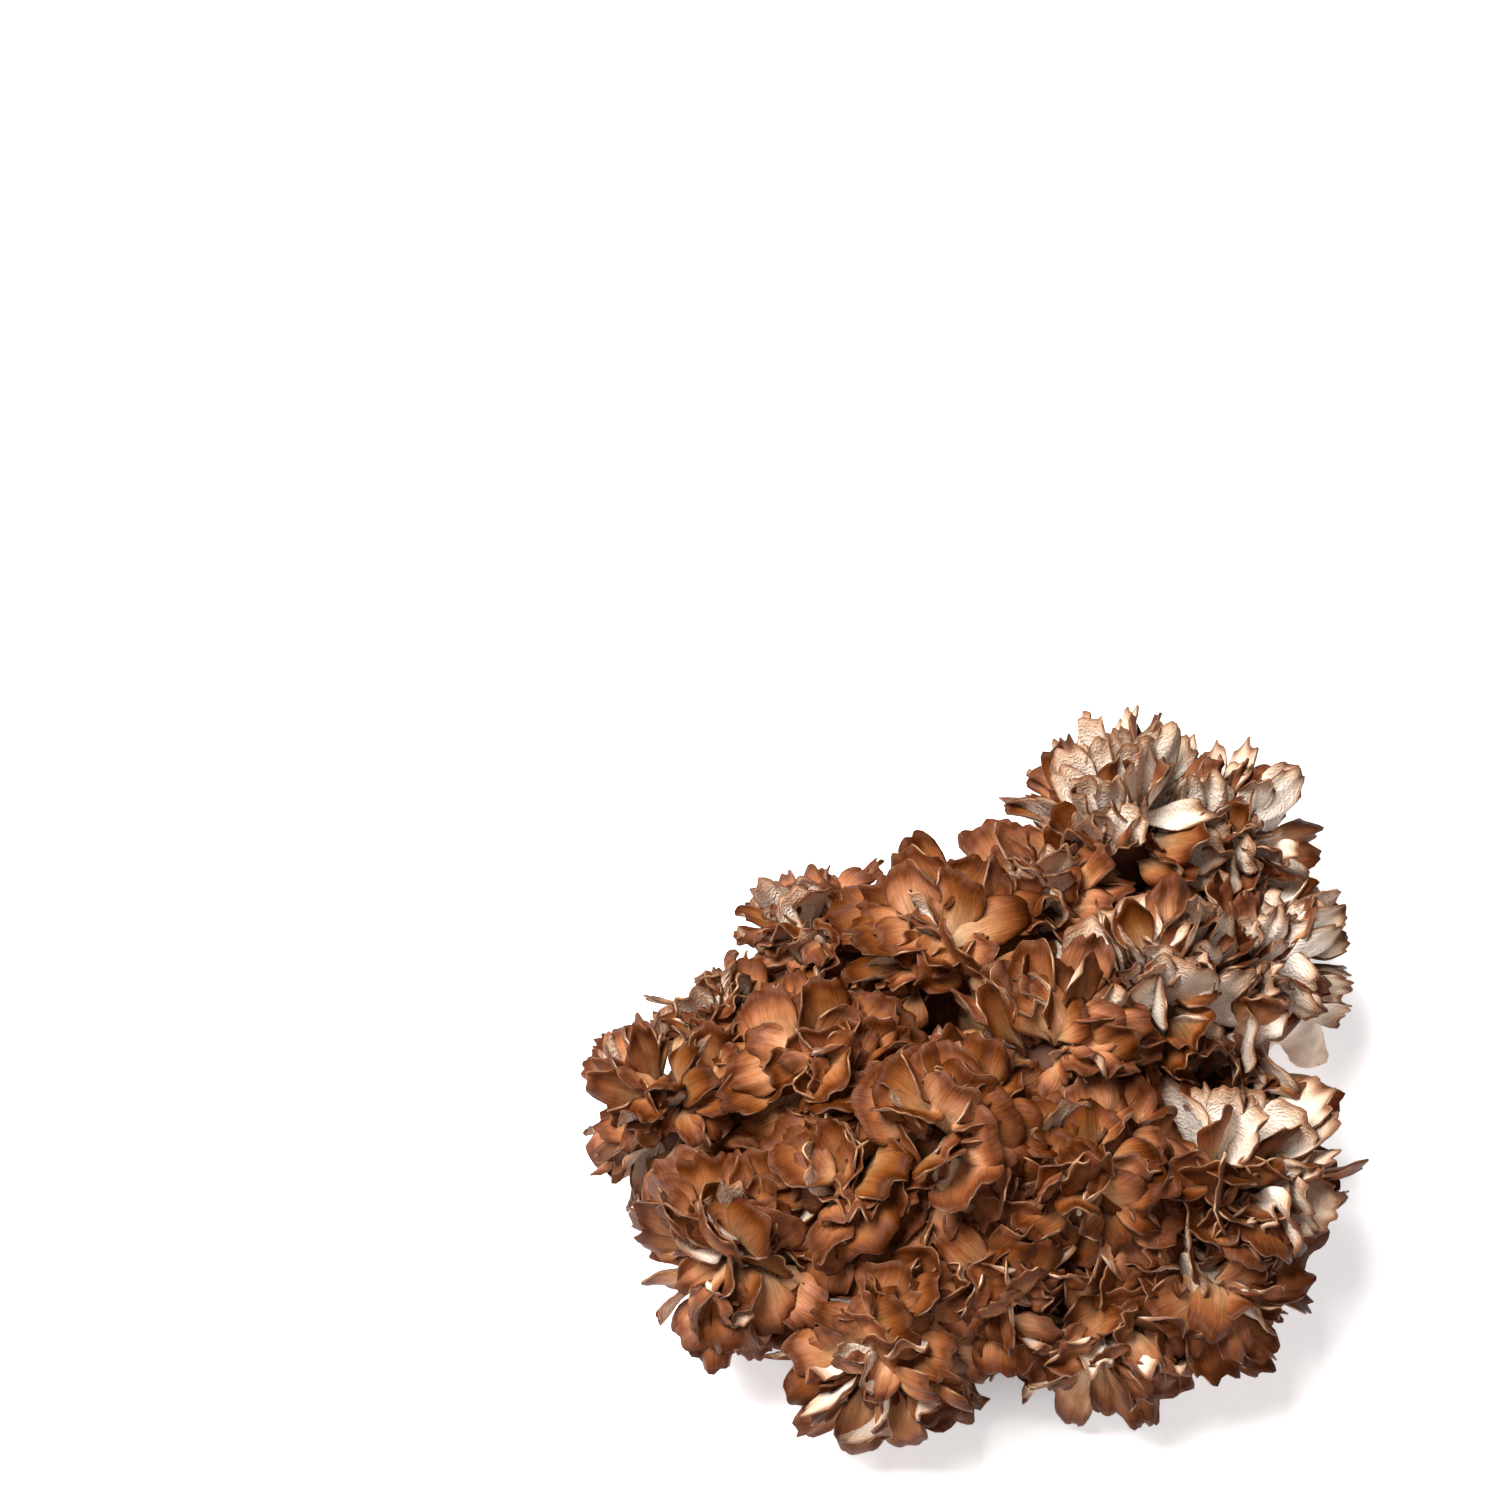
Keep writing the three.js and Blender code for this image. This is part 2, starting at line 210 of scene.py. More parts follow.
# %% The branches
MIDDLE = Vector((-0.4, 4.9, 0.0))  # the middle of the part's box, where the branches are laid out
FIELDS = ("name", "at", "lean", "reach", "spread", "count", "width", "arch")
BRANCH_ROWS = [
    ("left", (-88, -11, 40), (-0.6, -0.4, 0.7), 36, 112, 12, 17, 1),
    ("left_back", (-74, 12, 40), (-0.5, 0.4, 0.7), 27, 108, 8, 16, 1),
    ("front_left", (-70, -56, 38), (-0.5, -0.6, 0.6), 35, 112, 12, 20, 1),
    ("back_left", (-46, 42, 44), (-0.4, 0.6, 0.7), 30, 112, 11, 13, 1),
    ("crown_left", (-46, -9, 58), (-0.35, -0.1, 0.9), 36, 98, 11, 20, 1),
    ("crown_front", (-10, -34, 66), (-0.05, -0.3, 0.9), 35, 94, 10, 23, 1),
    ("front", (-29, -80, 35), (-0.1, -0.85, 0.5), 35, 110, 12, 20, 1),
    ("front_low", (3, -68, 44), (0, -0.8, 0.6), 31, 100, 8, 20, 1),
    ("front_right", (33, -75, 33), (0.2, -0.85, 0.45), 34, 112, 12, 18, 1),
    ("crown_back", (-10, 27, 60), (-0.15, 0.3, 0.9), 36, 104, 11, 20, 1),
    ("back_middle", (19, 48, 56), (-0.1, 0.5, 0.85), 31, 104, 9, 18, 0.5),
    ("back", (45, 77, 51), (-0.05, 0.9, 0.4), 39, 126, 17, 17, -0.35),
    ("right", (85, 37, 46), (0.85, 0.5, 0.2), 32, 124, 12, 13, -0.35),
    ("right_low", (77, 2, 46), (0.8, -0.1, 0.5), 31, 112, 9, 19, -0.3),
    ("crown_right", (52, 14, 63), (0.5, 0.5, 0.6), 35, 124, 11, 23, -0.35),
    ("front_corner", (68, -38, 42), (0.85, -0.1, 0.45), 38, 114, 12, 22, 0.5),
    ("crown_corner", (27, -45, 60), (0.3, -0.4, 0.85), 33, 96, 9, 22, 1),
    ("crown", (19, -8, 66), (0.1, 0.2, 0.95), 35, 94, 9, 21, 1),
    ("front_middle", (-38, -47, 53), (-0.3, -0.5, 0.8), 34, 98, 9, 21, 1),
    ("corner_low", (57, -62, 34), (0.6, -0.6, 0.5), 35, 106, 10, 20, 0.8),
    ("back_right", (77, 77, 48), (0.6, 0.8, 0.15), 33, 120, 10, 14, -0.35),
]
BRANCHES = [dict(zip(FIELDS, row)) for row in BRANCH_ROWS]
print("fronds on the solids:", sum(branch["count"] for branch in BRANCHES))

# %% [markdown]
# ## Room to grow
# Two branches that grow side by side press on each other and meet in a crease. So each pair of
# neighbours gets a plane between them, nearer to the smaller one, and a frond whose tip would
# pass such a plane grows aside. The surface that the cluster stands on is one more plane.

# %% Planes between the branches
CLEARANCE = 0.9  # what a frond keeps from a plane
EASE = 4.5  # how far from a plane a frond begins to bend
FLOOR_GAP = 2.2  # the lowest fronds stay this far above the surface


def planes_around(branch):
    """The planes, as normal and reach, that part a branch from its neighbours and the floor."""
    here = Vector(branch["at"])
    planes = []
    for other in BRANCHES:
        if other is not branch:
            normal = Vector(other["at"]) - here
            distance = normal.length
            normal.normalize()
            wider = branch["reach"] ** 2 - other["reach"] ** 2
            share = (distance ** 2 + wider) / (2 * distance)
            planes.append((normal, here.dot(normal) + share))
    planes.append((Vector((0, 0, -1)), CLEARANCE - FLOOR_GAP))
    return planes


def steer_clear(growth, root, length, planes):
    """Turns a frond's way of growth aside where its tip would pass one of the planes."""
    for normal, reach in planes:
        over = (root + growth * length).dot(normal) - (reach - EASE / 2)
        if over > 0:
            growth = (growth - normal * over / length).normalized()
    return growth


print("planes round each branch:", len(planes_around(BRANCHES[0])))

# %% [markdown]
# ## Where the fronds grow
# A maitake's fronds aren't modelled one by one: they follow a rule. On each branch they succeed
# each other at the golden angle, from the middle of the rosette to its outside, as florets do.
# The upper side of each faces the middle of the rosette. Size, turn and curve are drawn from a
# seeded generator, so the same cluster grows every time, and it is the cluster of the solids.
# Tilt, roll and lift turn a frond at its root. Bend, cup and twist curve it: along its length,
# from side to side, and about itself. Ruffle and waves are how high and how many the waves of
# its margin are, and lip is how far the margin turns down. Rounding, scallop and lobes give its
# outline, phase shifts its waves, and tone makes its skin lighter or darker.

# %% Seeded draws
MULTIPLIER, MODULUS = 48271, 2147483647  # a simple generator that any language can repeat
MAIN_SEED = 7919  # multiplied by a branch's place in the list, as all seeds are


def make_draw(seed):
    """Draws numbers between two limits; the same seed gives the same cluster."""
    state = seed

    def draw(low, high):
        nonlocal state
        state = (state * MULTIPLIER) % MODULUS
        return low + (high - low) * state / MODULUS

    return draw


print("the first draw is", round(make_draw(MAIN_SEED)(0, 1), 3))

# %% The fronds of a branch
GOLDEN_ANGLE = math.pi * (3 - math.sqrt(5))
CORE_SHARE = 0.38  # the radius of a branch's solid core, as a share of its reach
ROOT_DEPTH = 0.75  # where a frond is rooted in the core
ALL_ROUND = (0, 2 * math.pi)  # radians
MAIN = {  # what is drawn for each frond, between two limits; angles in degrees
    "tilt": (-12, 12), "roll": (-50, 50), "lift": (-8, 30), "length": (0.88, 1.16),
    "width": (0.9, 1.65), "bend": (12, 92), "cup": (-40, 60), "twist": (-24, 24),
    "ruffle": (0.8, 2.6), "waves": (1.2, 2.4), "rounding": (0.3, 0.65), "scallop": (0.01, 0.035),
    "lobes": (1.8, 4.2), "phase": ALL_ROUND, "lip": (-1.5, 3), "tone": (0, 1),
}
AROUND = (-0.6, 0.6)  # radians off the golden angle


def fronds_of(branch, seed, count, size, planes):
    """The fronds of a branch, each as the values that its surface is made from."""
    draw = make_draw(seed)
    lean = Vector(branch["lean"]).normalized()
    side_a = Vector((0, 0, 1)).cross(lean).normalized()
    side_b = lean.cross(side_a)
    core = branch["reach"] * CORE_SHARE
    fronds = []
    for i in range(count):
        share = (i + 0.5) / count
        tilt = math.acos(1 - (1 - math.cos(math.radians(branch["spread"]))) * share)
        tilt += math.radians(draw(*MAIN["tilt"]))
        around = i * GOLDEN_ANGLE + draw(*AROUND)
        outward = side_a * math.cos(around) + side_b * math.sin(around)
        growth = lean * math.cos(tilt) + outward * math.sin(tilt)
        face = lean * math.sin(tilt) - outward * math.cos(tilt)
        root = Vector(branch["at"]) + growth * core * ROOT_DEPTH
        roll = math.radians(draw(*MAIN["roll"]))
        lift = math.radians(draw(*MAIN["lift"]))
        face.rotate(Quaternion(growth, roll))
        width_way = growth.cross(face).normalized()
        growth.rotate(Quaternion(width_way, lift))
        face.rotate(Quaternion(width_way, lift))
        length = (branch["reach"] - core * ROOT_DEPTH) * draw(*MAIN["length"]) * size
        growth = steer_clear(growth, root, length, planes)
        face = (face - growth * face.dot(growth)).normalized()
        frond = {"root": root, "growth": growth, "face": face, "length": length}
        frond["width_way"] = growth.cross(face).normalized()
        frond["width"] = branch["width"] * draw(*MAIN["width"]) * size
        frond["bend"] = math.radians(draw(*MAIN["bend"])) * branch["arch"]
        for name in ("cup", "twist"):
            frond[name] = math.radians(draw(*MAIN[name]))
        for name in ("ruffle", "waves", "rounding", "scallop", "lobes", "phase", "lip", "tone"):
            frond[name] = draw(*MAIN[name])
        fronds.append(frond)
    return fronds


first = fronds_of(BRANCHES[0], MAIN_SEED, BRANCHES[0]["count"], 1.0, planes_around(BRANCHES[0]))
print("the first frond is", round(first[0]["length"], 1), "long and", round(first[0]["width"], 1),
      "wide")

# %% [markdown]
# ## Fans beside fans
# The solids carry one frond where the real branch carries a stack of them, one close behind
# another like the leaves of a book. Each frond of the solids gets companions. Two of them stand
# before and behind it, two stand beside it, and two strays grow from the same stalk in a way of
# their own, some of them with their pale side up. Copies of the main frond would look stamped,
# so each companion draws a size, a turn and a margin for itself.

# %% Stacks and strays
STACKED_EACH = 4
STRAYS_EACH = 2
COMPANION = {  # drawn for every companion; angles in degrees
    "twist": (-15, 15), "ruffle": (0.3, 1.4), "waves": (0.6, 1.8), "rounding": (0.15, 0.5),
    "scallop": (0.02, 0.06), "lobes": (1.4, 3.4), "phase": ALL_ROUND, "lip": (-1.5, 3),
    "tone": (0, 1),
}
STACKED = {  # tip, side and roll turn it from its main frond; size, bend and width are shares
    "tip": (4, 18), "side": (-12, 12), "roll": (-80, 80), "size": (0.66, 1.04),
    "bend": (0.35, 1.0), "cup": (-25, 25), "width": (0.7, 1.1),
}
STRAY = {
    "tip": (-40, 40), "side": (18, 50), "roll": (-70, 70), "size": (0.5, 0.95),
    "bend": (0.1, 1.0), "cup": (-50, 50), "width": (0.5, 0.9),
}
BESIDE = (16, 34)  # how far to the side the ones beside it lean, in degrees
STACK_GAP = (3.0, 7.0)  # how far before or behind it they are rooted
BESIDE_GAP_SHARE = 0.5
PALE_UP = 0.75  # a stray whose draw is above this is turned over


def companions_of(fronds, seed, planes):
    """More fronds, grown from the stalks of the given ones."""
    draw = make_draw(seed)
    more = []
    for frond in fronds:
        for turn in range(STACKED_EACH + STRAYS_EACH):
            stray = turn >= STACKED_EACH
            beside = not stray and turn >= STACKED_EACH / 2
            rank = 1 if turn % 2 else -1  # before or behind, left or right
            ranges = STRAY if stray else STACKED
            tip, side = draw(*ranges["tip"]), draw(*ranges["side"])
            if stray:
                side *= 1 if draw(-1, 1) > 0 else -1
            else:
                tip *= rank
            if beside:
                side += rank * draw(*BESIDE)
            roll = draw(*ranges["roll"])
            if stray and draw(0, 1) > PALE_UP:
                roll += 180
            length = frond["length"] * draw(*ranges["size"])
            growth, face, way = (frond[k].copy() for k in ("growth", "face", "width_way"))
            root = frond["root"].copy()
            if not stray:
                gap_share = BESIDE_GAP_SHARE if beside else 1
                root += face * rank * draw(*STACK_GAP) * gap_share
            for axis, angle in ((face, side), (way, tip), (growth, roll)):
                turned = Quaternion(axis.copy(), math.radians(angle))
                for vector in (growth, face, way):
                    vector.rotate(turned)
            growth = steer_clear(growth, root, length, planes)
            face = (face - growth * face.dot(growth)).normalized()
            other = {"root": root, "growth": growth, "face": face, "length": length}
            other["width_way"] = growth.cross(face).normalized()
            other["bend"] = frond["bend"] * draw(*ranges["bend"])
            cup = draw(*ranges["cup"])
            other["cup"] = math.radians(cup if stray else math.degrees(frond["cup"]) + cup)
            other["width"] = frond["width"] * draw(*ranges["width"])
            for name, limits in COMPANION.items():
                other[name] = draw(*limits)
            other["twist"] = frond["twist"] + math.radians(other["twist"])
            more.append(other)
    return more


print("companions of each frond:", STACKED_EACH + STRAYS_EACH)

# %% [markdown]
# ## The rule of a frond
# A frond is a sheet whose points follow a rule. Each point has two numbers: along, 0 at the
# root and 1 at the margin, and across, from -1 to 1. The fan opens with along, arches away from
# the middle of the rosette, lets its sides fall, and waves and frays near its margin.
# The rule is a list of named steps of arithmetic. Each step becomes one node, and may use the
# steps before it. Written as a list, it can be read and changed like a recipe.

# %% Steps of the rule
FRILL_HEIGHT = 1.9
RIPPLE_TURNS = 15.0  # radians of ripple from root to margin
RIPPLE_HEIGHT = 0.45
MARGIN_CLOSING = -0.36  # how much of its squared width a fan loses by the margin
NEARLY_NOTHING = 1e-4  # keeps the fall from being divided by zero
SKINS_APART = 997.0  # puts each frond's skin in a stretch of the noises of its own

FRONT_STEPS = [
    ("across_pi", "MULTIPLY", "across", math.pi),
    ("across_squared", "MULTIPLY", "across", "across"),
    ("along_squared", "MULTIPLY", "along", "along"),
    ("along_cubed", "MULTIPLY", "along_squared", "along"),
    ("along_fourth", "MULTIPLY", "along_squared", "along_squared"),
    # the outline: an arc, scalloped, and torn near the margin
    ("scallop_turn", "MULTIPLY_ADD", "lobes", "across_pi", "phase"),
    ("scallop_shape", "COSINE", "scallop_turn"),
    ("corner", "MULTIPLY", "rounding", "across_squared"),
    ("middle", "SUBTRACT", 1.0, "corner"),
    ("arc", "SQRT", "middle"),
    ("scalloped", "MULTIPLY_ADD", "scallop", "scallop_shape", "arc"),
    ("tear", "SUBTRACT", "tear_noise", 0.5),
    ("tear_depth", "MULTIPLY", "tear", "fraying"),
    ("outline", "MULTIPLY_ADD", "tear_depth", "along_squared", "scalloped"),
    # the arch, as a turn about an arm
    ("turn_here", "MULTIPLY", "bend", "along"),
    ("turn", "MULTIPLY", "turn_here", "outline"),
    ("arm", "DIVIDE", "length", "bend"),
    # the half width, which opens from the stalk and closes a little at the margin
    ("thinned", "MULTIPLY_ADD", "along_squared", MARGIN_CLOSING, 1.0),
    ("narrowing", "SQRT", "thinned"),
    ("half_width", "MULTIPLY", "width", 0.5),
    ("half_open", "MULTIPLY", "half_width", "opening"),
    ("half_here", "MULTIPLY", "half_open", "narrowing"),
    ("side", "MULTIPLY", "half_here", "across"),
    # the sides fall along an arc of their own
    ("cup_here", "MULTIPLY", "cup", "along"),
    ("fall", "MULTIPLY_ADD", "cup_here", "across", NEARLY_NOTHING),
    ("fall_sine", "SINE", "fall"),
    ("fall_cosine", "COSINE", "fall"),
    ("side_sine", "MULTIPLY", "side", "fall_sine"),
    ("sideways", "DIVIDE", "side_sine", "fall"),
    ("lost", "SUBTRACT", 1.0, "fall_cosine"),
    ("side_lost", "MULTIPLY", "side", "lost"),
    ("dropped", "DIVIDE", "side_lost", "fall"),
    # waves along the margin, small frills, ripples across the fan and the lip
    ("wave_turn", "MULTIPLY_ADD", "waves", "across_pi", "phase"),
    ("wave_shape", "SINE", "wave_turn"),
    ("wave_height", "MULTIPLY", "ruffle", "along_squared"),
    ("wave", "MULTIPLY", "wave_height", "wave_shape"),
    ("frill", "SUBTRACT", "frill_noise", 0.5),
    ("frill_height", "MULTIPLY", "along_cubed", FRILL_HEIGHT),
    ("frilled", "MULTIPLY_ADD", "frill", "frill_height", "wave"),
    ("ripple_turn", "MULTIPLY_ADD", "along", RIPPLE_TURNS, "phase"),
    ("ripple_shape", "SINE", "ripple_turn"),
    ("ripple_height", "MULTIPLY", "tone", RIPPLE_HEIGHT),
    ("rippled", "MULTIPLY_ADD", "ripple_shape", "ripple_height", "frilled"),
    ("lip_here", "MULTIPLY", "lip", "along_fourth"),
    ("kept", "SUBTRACT", "rippled", "dropped"),
    ("raised", "SUBTRACT", "kept", "lip_here"),
    # the twist about the frond's own middle
    ("twist_here", "MULTIPLY", "twist", "along"),
    ("twist_sine", "SINE", "twist_here"),
    ("twist_cosine", "COSINE", "twist_here"),
    ("raised_up", "MULTIPLY", "raised", "twist_cosine"),
    ("sideways_up", "MULTIPLY", "sideways", "twist_sine"),
    ("up", "SUBTRACT", "raised_up", "sideways_up"),
    ("raised_over", "MULTIPLY", "raised", "twist_sine"),
    ("over", "MULTIPLY_ADD", "sideways", "twist_cosine", "raised_over"),
    # how far the point comes to lie along the growth and out along the face
    ("turn_sine", "SINE", "turn"),
    ("turn_cosine", "COSINE", "turn"),
    ("radius", "ADD", "arm", "up"),
    ("forward", "MULTIPLY", "radius", "turn_sine"),
    ("swung", "MULTIPLY", "radius", "turn_cosine"),
    ("outward", "SUBTRACT", "swung", "arm"),
    # the place on the skin, in millimetres, for the materials
    ("skin_along", "MULTIPLY", "along", "length"),
    ("skin_apart", "MULTIPLY", "tone", SKINS_APART),
]
PLACE_STEPS = [  # from the root, out along the frond's three ways
    ("grown_forward", "MULTIPLY_ADD", "growth", "forward", "root"),
    ("grown_outward", "MULTIPLY_ADD", "face", "outward", "grown_forward"),
    ("grown", "MULTIPLY_ADD", "width_way", "over", "grown_outward"),
]
PLANE_STEPS = [  # how far to push a point back from a plane, more gently the further away it is
    ("room", "SUBTRACT", "reach", "distance"),
    ("short", "SUBTRACT", "room", EASE),
    ("eased", "DIVIDE", "short", EASE - CLEARANCE),
    ("fading", "EXPONENT", "eased"),
    ("kept", "MULTIPLY_ADD", "fading", EASE - CLEARANCE, CLEARANCE),
    ("too_near", "LESS_THAN", "room", EASE),
    ("gap", "SUBTRACT", "room", "kept"),
    ("shift", "MULTIPLY", "gap", "too_near"),
]
print("steps to place one point:", len(FRONT_STEPS) + len(PLACE_STEPS) + len(PLANE_STEPS))

# %% [markdown]
# ## One tree grows every frond
# Fans that repeat by the hundred are what Geometry Nodes are for. Copying a modelled fan would
# give hundreds of equal ones, so the tree puts a flat unit grid on each root, makes the copies
# real, and moves each point to its place by the rule, with the numbers that its own root
# carries. A repeat zone then bends the sheets clear of the planes, one plane after another.

# %% The frond tree: its numbers and inputs
STALK_SHARE = 0.28  # the width at the stalk, as a share of the fan's
FAN_OPENS = (0.14, 0.86)  # from where to where along the frond it opens
ALONG_POWER = 0.85  # below 1 puts more rows of the grid near the margin
FROND_NOISES = {  # the stretch across, along, and apart for each frond; and the detail
    "tear_noise": ((5.0, 0.0, 91.0), 4.0),  # five tears in the half width of a fan
    "frill_noise": ((4.0, 1.0, 57.0), 2.0),
}
NOISE_ROUGHNESS = 0.65
NUMBERS = ("along", "across", "length", "width", "bend", "cup", "twist", "ruffle", "waves",
           "rounding", "scallop", "lobes", "phase", "lip", "tone")
VECTORS = ("root", "growth", "face", "width_way")
INPUTS = [
    ("Roots", "NodeSocketGeometry", None),
    ("Planes", "NodeSocketObject", None),
    ("Plane Count", "NodeSocketInt", 1),
    ("Rows", "NodeSocketInt", 10),
    ("Columns", "NodeSocketInt", 13),
    ("Fraying", "NodeSocketFloat", 0.045),
    ("Skin", "NodeSocketMaterial", None),
]

frond_tree = bpy.data.node_groups.new("grow_fronds", "GeometryNodeTree")
for name, kind, default in INPUTS:
    socket = frond_tree.interface.new_socket(name=name, in_out="INPUT", socket_type=kind)
    if default is not None:
        socket.default_value = default
frond_tree.interface.new_socket(
    name="Fronds", in_out="OUTPUT", socket_type="NodeSocketGeometry")
given = add_node(frond_tree, "NodeGroupInput", output=None).outputs
print("inputs of the frond tree:", [name for name, *_ in INPUTS])

# %% The frond tree: a flat unit grid on every root, whose points know their along and across
grid = add_node(frond_tree, "GeometryNodeMeshGrid", {
    "Size X": 1.0, "Size Y": 1.0, "Vertices X": given["Rows"], "Vertices Y": given["Columns"]})
grid_place = add_node(frond_tree, "GeometryNodeInputPosition")
split = add_node(frond_tree, "ShaderNodeSeparateXYZ", {0: grid_place}, output=None).outputs
flat = {"x": split[0], "y": split[1]}
add_steps(frond_tree, "ShaderNodeMath", flat, [
    ("even", "ADD", "x", 0.5),
    ("along", "POWER", "even", ALONG_POWER),
    ("across", "MULTIPLY", "y", -2.0),
])
sheet = grid
for name in ("along", "across"):
    sheet = add_node(frond_tree, "GeometryNodeStoreNamedAttribute", {
        "Geometry": sheet, "Name": name, "Value": flat[name]}, data_type="FLOAT", domain="POINT")
copies = add_node(frond_tree, "GeometryNodeInstanceOnPoints", {
    "Points": given["Roots"], "Instance": sheet})
sheets = add_node(frond_tree, "GeometryNodeRealizeInstances", {"Geometry": copies})
print("nodes so far:", len(frond_tree.nodes))

# %% The frond tree: the rule moves each point, which keeps where it is on the skin
made = {"fraying": given["Fraying"]}
for names, kind in ((NUMBERS, "FLOAT"), (VECTORS, "FLOAT_VECTOR")):
    for name in names:
        made[name] = add_node(frond_tree, "GeometryNodeInputNamedAttribute", {"Name": name},
                              data_type=kind)
spot = add_node(frond_tree, "ShaderNodeCombineXYZ", {
    "X": made["across"], "Y": made["along"], "Z": made["tone"]})
for name, (stretch, detail) in FROND_NOISES.items():
    stretched = add_node(frond_tree, "ShaderNodeVectorMath", {0: spot, 1: stretch},
                         operation="MULTIPLY")
    made[name] = add_node(frond_tree, "ShaderNodeTexNoise", {
        "Vector": stretched, "Scale": 1.0, "Detail": detail, "Roughness": NOISE_ROUGHNESS})
made["opening"] = add_node(frond_tree, "ShaderNodeMapRange", {
    "Value": made["along"], "From Min": FAN_OPENS[0], "From Max": FAN_OPENS[1],
    "To Min": STALK_SHARE, "To Max": 1.0}, interpolation_type="SMOOTHSTEP")
add_steps(frond_tree, "ShaderNodeMath", made, FRONT_STEPS)
add_steps(frond_tree, "ShaderNodeVectorMath", made, PLACE_STEPS)
skin_place = add_node(frond_tree, "ShaderNodeCombineXYZ", {
    "X": made["side"], "Y": made["skin_along"], "Z": made["skin_apart"]})
marked = add_node(frond_tree, "GeometryNodeStoreNamedAttribute", {
    "Geometry": sheets, "Name": "skin_place", "Value": skin_place},
    data_type="FLOAT_VECTOR", domain="POINT")
shaped = add_node(frond_tree, "GeometryNodeSetPosition", {
    "Geometry": marked, "Position": made["grown"]})
print("nodes so far:", len(frond_tree.nodes))

# %% The frond tree: what comes too near to a plane bends along it, one plane after another
planes_given = add_node(frond_tree, "GeometryNodeObjectInfo", {"Object": given["Planes"]},
                        "Geometry")
zone_in = add_node(frond_tree, "GeometryNodeRepeatInput", output=None)
zone_out = add_node(frond_tree, "GeometryNodeRepeatOutput", output=None)
zone_in.pair_with_output(zone_out)
frond_tree.links.new(given["Plane Count"], zone_in.inputs["Iterations"])
frond_tree.links.new(shaped, zone_in.inputs["Geometry"])
plane = {}
for name, kind in (("away", "FLOAT_VECTOR"), ("reach", "FLOAT")):
    carried = add_node(frond_tree, "GeometryNodeInputNamedAttribute", {"Name": name},
                       data_type=kind)
    plane[name] = add_node(frond_tree, "GeometryNodeSampleIndex", {
        "Geometry": planes_given, "Value": carried, "Index": zone_in.outputs["Iteration"]},
        data_type=kind, domain="POINT")
here = add_node(frond_tree, "GeometryNodeInputPosition")
plane["distance"] = add_node(frond_tree, "ShaderNodeVectorMath", {0: here, 1: plane["away"]},
                             "Value", operation="DOT_PRODUCT")
add_steps(frond_tree, "ShaderNodeMath", plane, PLANE_STEPS)
bent = add_node(frond_tree, "ShaderNodeVectorMath", {
    0: plane["away"], 1: plane["shift"], 2: here}, operation="MULTIPLY_ADD")
moved = add_node(frond_tree, "GeometryNodeSetPosition", {
    "Geometry": zone_in.outputs["Geometry"], "Position": bent})
frond_tree.links.new(moved, zone_out.inputs["Geometry"])
print("nodes so far:", len(frond_tree.nodes))

# %% The frond tree: from millimetres to metres, smooth, made real and skinned
in_metres = add_node(frond_tree, "GeometryNodeTransform", {
    "Geometry": zone_out.outputs["Geometry"], "Scale": (MM, MM, MM)})
smooth = add_node(frond_tree, "GeometryNodeSetShadeSmooth", {"Geometry": in_metres})
whole = add_node(frond_tree, "GeometryNodeRealizeInstances", {"Geometry": smooth})
skinned = add_node(frond_tree, "GeometryNodeSetMaterial", {
    "Geometry": whole, "Material": given["Skin"]})
add_node(frond_tree, "NodeGroupOutput", {0: skinned}, output=None)
print("nodes in the frond tree:", len(frond_tree.nodes))

# %% [markdown]
# ## Skins
# Each side of a frond has its own skin, which tells a reader which side is seen. A picture of a
# frond would be the same on every frond, so the skins are made of noises that read the place on
# the frond, in millimetres: colours run along it from the stalk to the margin, and streaks and
# fibres are stretched the same way, because a fan grows outwards.

# %% Helpers for skins
SUBSURFACE_RADIUS = (2.0, 1.0, 0.6)  # red light goes furthest into flesh
NOISE_MIDDLE = 0.5


def new_material(name, roughness, subsurface):
    """A material with its tree and its shader."""
    material = bpy.data.materials.new(name)
    material.use_nodes = True
    shader = material.node_tree.nodes["Principled BSDF"]
    shader.inputs["Roughness"].default_value = roughness
    shader.inputs["Subsurface Weight"].default_value = subsurface
    shader.inputs["Subsurface Radius"].default_value = SUBSURFACE_RADIUS
    shader.inputs["Subsurface Scale"].default_value = MM
    return material, material.node_tree, shader


def fill_ramp(node, stops):
    """Puts stops of place and hex colour in a colour ramp."""
    while len(node.color_ramp.elements) < len(stops):
        node.color_ramp.elements.new(0.5)
    for element, (place, colour) in zip(node.color_ramp.elements, stops):
        element.position = place
        element.color = linear(colour)


print("light goes", SUBSURFACE_RADIUS[0], "mm into the flesh at most")

# %% [markdown]
# ### The upper skin
# The upper side is a dry, thin skin over the flesh, like soft leather: tan over the stalk,
# brown further out, and dark in a band before the margin. It looks satin, not glossy. Fine
# fibres run outwards and give it its silky lines, and no two fronds have the same depth of
# colour. Where a skin is dark, its colour is also a little stronger.

